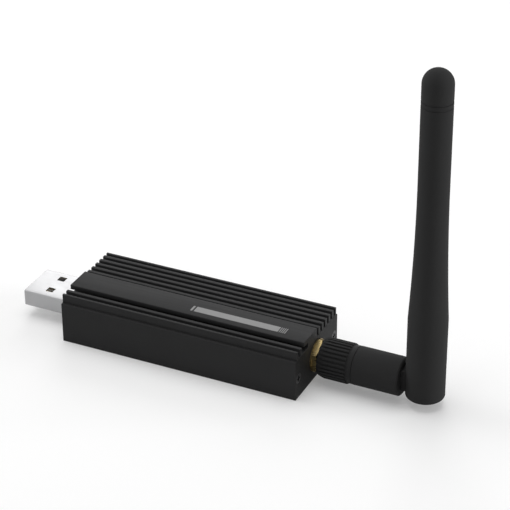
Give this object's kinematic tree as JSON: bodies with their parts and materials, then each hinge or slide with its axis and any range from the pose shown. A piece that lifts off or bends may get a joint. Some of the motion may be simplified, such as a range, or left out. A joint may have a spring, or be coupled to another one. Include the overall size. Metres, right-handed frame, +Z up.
{
  "type": "smart home usb radio stick",
  "caption": "Black metal stick with cooling fins, a plug at one end and a threaded jack at the other that carries a screw-on antenna with a hinged upright rod.",
  "frame": {"origin": "middle of the case's flat underside", "axes": "+X along the stick from its plug to its antenna, +Z up out of the finned top, +Y across to the rear side; the flat raised strip lies towards -Y"},
  "size_m": [0.115, 0.0254, 0.0902],
  "materials": {
    "cover_black": "black anodised, satin",
    "tray_black": "black anodised, satin",
    "plate_black": "black anodised, satin",
    "screw_black": "blackened",
    "board_green": "solder resist",
    "plug_steel": "nickel plated",
    "plug_plastic": "moulded",
    "contact_gold": "gold plated",
    "jack_brass": "gold plated",
    "core_white": "waxy",
    "antenna_grip": "moulded, matt",
    "antenna_black": "moulded, matt",
    "lead_brown": "smooth",
    "radiator_brass": "plain",
    "can_tin": "tin plated",
    "chip_black": "moulded",
    "light_clear": "clear",
    "ceramic_tan": "ceramic",
    "print_grey": "flat printed ink"
  },
  "bodies": {
    "stick": {"finned_cover": "cover_black", "case_tray": "tray_black", "usb_end_plate": "plate_black", "antenna_end_plate": "plate_black", "case_screws": "screw_black", "circuit_board": "board_green", "usb_shell": "plug_steel", "usb_insulator": "plug_plastic", "usb_contacts": "contact_gold", "jack_body": "jack_brass", "jack_insulator": "core_white", "jack_contact": "contact_gold", "lock_washer": "jack_brass", "jack_nut": "jack_brass", "shield_can": "can_tin", "radio_chip": "chip_black", "bridge_chip": "chip_black", "regulator": "chip_black", "crystal": "can_tin", "status_leds": "light_clear", "board_capacitors": "ceramic_tan"},
    "coupling": {"coupling_nut": "antenna_grip", "coupling_insert": "jack_brass"},
    "barrel": {"swivel_barrel": "antenna_black", "barrel_lead": "lead_brown", "ferrule": "jack_brass", "ferrule_insulator": "core_white", "centre_pin": "contact_gold"},
    "whip": {"whip_sleeve": "antenna_black", "whip_tip": "antenna_black", "whip_lead": "lead_brown", "dipole_tube": "radiator_brass", "dipole_wire": "radiator_brass"}
  },
  "joints": [
    {"name": "coupling_turn", "type": "hinge", "parent": "stick", "child": "coupling", "pos_m": [0.03885, 0, 0.00605], "axis": [1, 0, 0], "continuous": true},
    {"name": "barrel_turn", "type": "hinge", "parent": "stick", "child": "barrel", "pos_m": [0.0502, 0, 0.00605], "axis": [1, 0, 0], "continuous": true},
    {"name": "whip_fold", "type": "hinge", "parent": "barrel", "child": "whip", "pos_m": [0.06195, 0, 0.00605], "axis": [0, 1, 0], "range_deg": [0, 90]}
  ]
}
